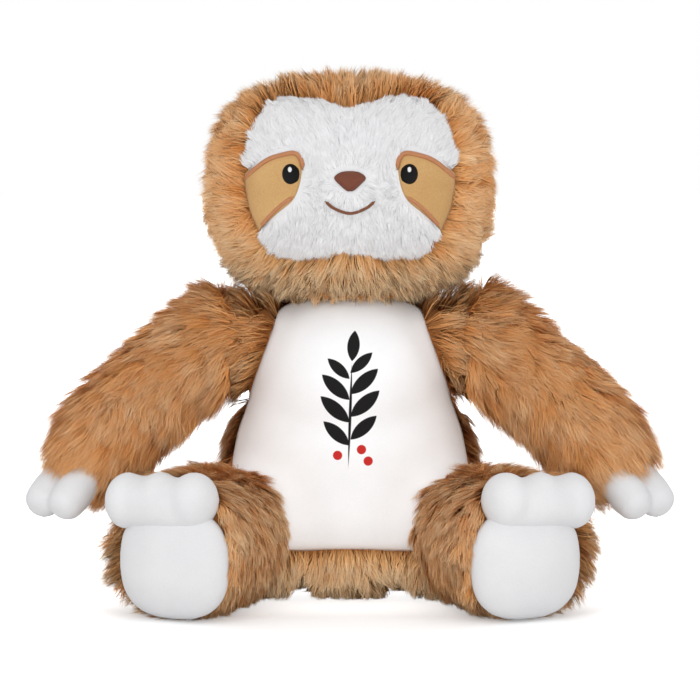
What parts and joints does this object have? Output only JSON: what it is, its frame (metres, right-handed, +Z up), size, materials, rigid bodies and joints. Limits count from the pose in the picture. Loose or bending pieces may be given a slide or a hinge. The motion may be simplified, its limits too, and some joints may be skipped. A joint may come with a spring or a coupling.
{
  "type": "plush sloth",
  "caption": "Seated plush sloth with long-pile fur, a white face, suede eye patches, a smooth white tummy, and arms, legs, hands and head that flop at their seams.",
  "frame": {"origin": "on the surface that the toy sits on, at the middle of the flat base of the body", "axes": "+Z up, the face looks along -Y, +X is the toy's own left side and the widest direction across both hands"},
  "size_m": [0.3388, 0.1837, 0.2735],
  "materials": {
    "brown_fur": "long-pile polyester plush, golden brown with paler tips, 14 mm pile combed outwards in loose locks",
    "white_fur": "white plush with a 6 mm pile",
    "white_velour": "smooth white velour with a short dense nap",
    "tan_suede": "matt tan suede cloth",
    "brown_thread": "satin-stitched brown embroidery thread",
    "black_thread": "satin-stitched black embroidery thread",
    "white_thread": "satin-stitched white embroidery thread",
    "stuffing": "loose polyester fibre filling",
    "seam_tape": "sewn seam allowance of the fur cloth"
  },
  "bodies": {
    "torso": {"tummy_panel": "white_velour", "body_cover_left": "brown_fur", "body_cover_right": "brown_fur", "base_cover": "brown_fur", "body_stuffing": "stuffing"},
    "neck": {"neck_seam": "seam_tape"},
    "head": {"head_cover_left": "brown_fur", "head_cover_right": "brown_fur", "face_panel": "white_fur", "head_stuffing": "stuffing", "eye_patch_left": "tan_suede", "eye_patch_right": "tan_suede", "patch_stitch_upper_left": "brown_thread", "patch_stitch_lower_left": "brown_thread", "patch_stitch_upper_right": "brown_thread", "patch_stitch_lower_right": "brown_thread", "eye_left": "black_thread", "eye_right": "black_thread", "eye_glint_left": "white_thread", "eye_glint_right": "white_thread", "nose": "brown_thread", "mouth": "brown_thread"},
    "arm_left": {"arm_cover_left": "brown_fur", "arm_stuffing_left": "stuffing"},
    "arm_right": {"arm_cover_right": "brown_fur", "arm_stuffing_right": "stuffing"},
    "hand_left": {"hand_left": "white_velour", "hand_stuffing_left": "stuffing"},
    "hand_right": {"hand_right": "white_velour", "hand_stuffing_right": "stuffing"},
    "leg_left": {"leg_cover_left": "brown_fur", "leg_stuffing_left": "stuffing", "sole_left": "white_velour", "toes_left": "white_velour"},
    "leg_right": {"leg_cover_right": "brown_fur", "leg_stuffing_right": "stuffing", "sole_right": "white_velour", "toes_right": "white_velour"}
  },
  "joints": [
    {"name": "neck_turn", "type": "hinge", "parent": "torso", "child": "neck", "pos_m": [0, -0.002, 0.112], "axis": [0, 0, 1], "range_deg": [-35, 35], "stiffness_Nm_per_rad": 0.4},
    {"name": "head_nod", "type": "hinge", "parent": "neck", "child": "head", "pos_m": [0, -0.002, 0.112], "axis": [1, 0, 0], "range_deg": [-10, 10], "stiffness_Nm_per_rad": 1.2},
    {"name": "arm_swing_left", "type": "hinge", "parent": "torso", "child": "arm_left", "pos_m": [0.043, 0, 0.132], "axis": [-1, 0, 0], "range_deg": [-40, 75], "stiffness_Nm_per_rad": 0.12},
    {"name": "arm_swing_right", "type": "hinge", "parent": "torso", "child": "arm_right", "pos_m": [-0.043, 0, 0.132], "axis": [-1, 0, 0], "range_deg": [-40, 75], "stiffness_Nm_per_rad": 0.12},
    {"name": "hand_flop_left", "type": "hinge", "parent": "arm_left", "child": "hand_left", "pos_m": [0.13978, -0.04627, 0.07284], "axis": [0.7926, 0.6097, 0], "range_deg": [-15, 20], "stiffness_Nm_per_rad": 0.03},
    {"name": "hand_flop_right", "type": "hinge", "parent": "arm_right", "child": "hand_right", "pos_m": [-0.13978, -0.04627, 0.07284], "axis": [0.7926, -0.6097, 0], "range_deg": [-15, 20], "stiffness_Nm_per_rad": 0.03},
    {"name": "leg_swing_left", "type": "hinge", "parent": "torso", "child": "leg_left", "pos_m": [0.052, -0.024, 0.038], "axis": [-0.9063, -0.4226, 0], "range_deg": [-30, 12], "stiffness_Nm_per_rad": 0.15},
    {"name": "leg_swing_right", "type": "hinge", "parent": "torso", "child": "leg_right", "pos_m": [-0.052, -0.024, 0.038], "axis": [-0.9063, 0.4226, 0], "range_deg": [-30, 12], "stiffness_Nm_per_rad": 0.15}
  ]
}
